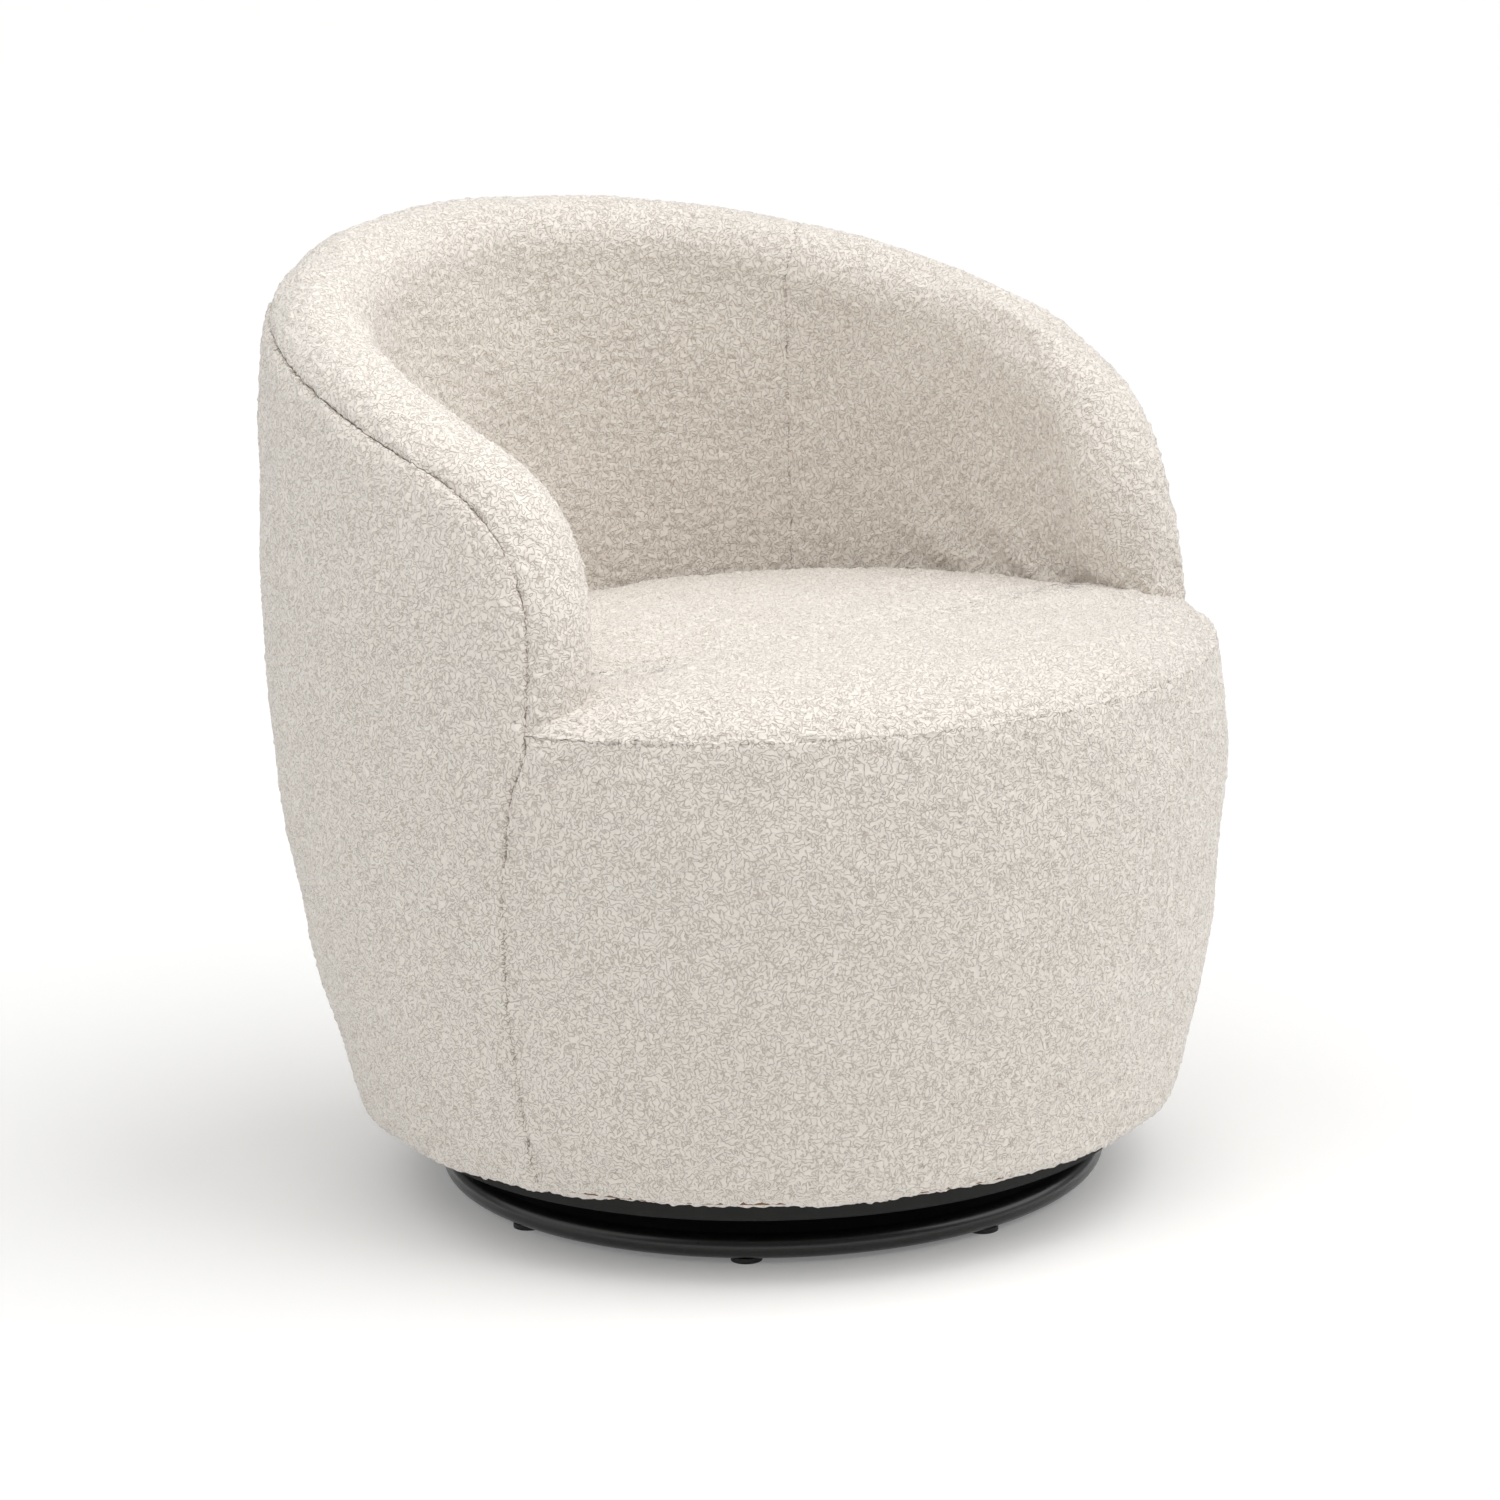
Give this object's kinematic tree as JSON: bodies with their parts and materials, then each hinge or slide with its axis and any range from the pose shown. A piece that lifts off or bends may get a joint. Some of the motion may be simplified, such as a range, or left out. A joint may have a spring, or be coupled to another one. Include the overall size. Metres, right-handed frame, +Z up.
{
  "type": "swivel tub armchair",
  "caption": "Low barrel-shaped armchair with a wrap-around back that falls into rounded arms, boucle upholstery and a swivelling ring base.",
  "frame": {"origin": "on the floor, under the middle of the chair's footprint", "axes": "+Z up, the front towards -Y, +X to the sitter's left"},
  "size_m": [0.7514, 0.762, 0.747],
  "materials": {
    "boucle": "looped wool-blend boucle",
    "black_enamel_steel": "satin black powder coat",
    "zinc_steel": "zinc plated",
    "bearing_steel": "polished",
    "cage_plastic": "moulded nylon",
    "glide_plastic": "moulded polyethylene",
    "spring_steel": "oil-tempered wire",
    "plywood": "raw poplar plywood",
    "fibreboard": "hardboard",
    "felt": "needled felt",
    "wadding": "polyester wadding",
    "foam": "polyurethane foam",
    "dust_cloth": "black non-woven"
  },
  "bodies": {
    "base": {"base_ring": "black_enamel_steel", "base_long_bar": "black_enamel_steel", "base_half_bars": "black_enamel_steel", "floor_glides": "glide_plastic", "swivel_lower_plate": "black_enamel_steel", "lower_plate_bolts": "zinc_steel", "pivot_pin": "zinc_steel", "pivot_clip": "zinc_steel"},
    "swivel_cage": {"ball_cage": "cage_plastic", "bearing_balls": "bearing_steel"},
    "seat_body": {"arm_post_left": "plywood", "arm_post_right": "plywood", "arm_rail_left": "plywood", "arm_rail_right": "plywood", "back_rib_center": "plywood", "back_rib_left_30": "plywood", "back_rib_left_60": "plywood", "back_rib_left_88": "plywood", "back_rib_right_30": "plywood", "back_rib_right_60": "plywood", "back_rib_right_88": "plywood", "back_top_rail": "plywood", "base_board": "plywood", "dust_cover": "dust_cloth", "front_cover": "boucle", "front_panel_board": "fibreboard", "front_rib_center": "plywood", "front_rib_left_inner": "plywood", "front_rib_left_outer": "plywood", "front_rib_right_inner": "plywood", "front_rib_right_outer": "plywood", "front_wadding": "wadding", "inner_panel": "fibreboard", "inside_arm_cover_left": "boucle", "inside_arm_cover_right": "boucle", "inside_arm_foam_left": "foam", "inside_arm_foam_right": "foam", "inside_back_cover": "boucle", "inside_back_foam": "foam", "outer_panel_back": "fibreboard", "outer_panel_left": "fibreboard", "outer_panel_right": "fibreboard", "outer_wadding_back": "wadding", "outer_wadding_left": "wadding", "outer_wadding_right": "wadding", "outside_arm_cover_left": "boucle", "outside_arm_cover_right": "boucle", "outside_back_cover": "boucle", "seat_cover": "boucle", "seat_foam": "foam", "seat_ring": "plywood", "seat_spring_1": "spring_steel", "seat_spring_2": "spring_steel", "seat_spring_3": "spring_steel", "seat_spring_4": "spring_steel", "seat_spring_5": "spring_steel", "spring_clips": "zinc_steel", "spring_pad": "felt", "swivel_upper_plate": "black_enamel_steel", "upper_plate_bolts": "zinc_steel"}
  },
  "joints": [
    {"name": "seat_swivel", "type": "hinge", "parent": "base", "child": "seat_body", "pos_m": [0, -0.019, 0.0445], "axis": [0, 0, 1], "continuous": true},
    {"name": "cage_turn", "type": "hinge", "parent": "base", "child": "swivel_cage", "pos_m": [0, -0.019, 0.0305], "axis": [0, 0, 1], "continuous": true}
  ],
  "couplings": [
    {"joint": "cage_turn", "follows": "seat_swivel", "ratio": 0.5}
  ]
}
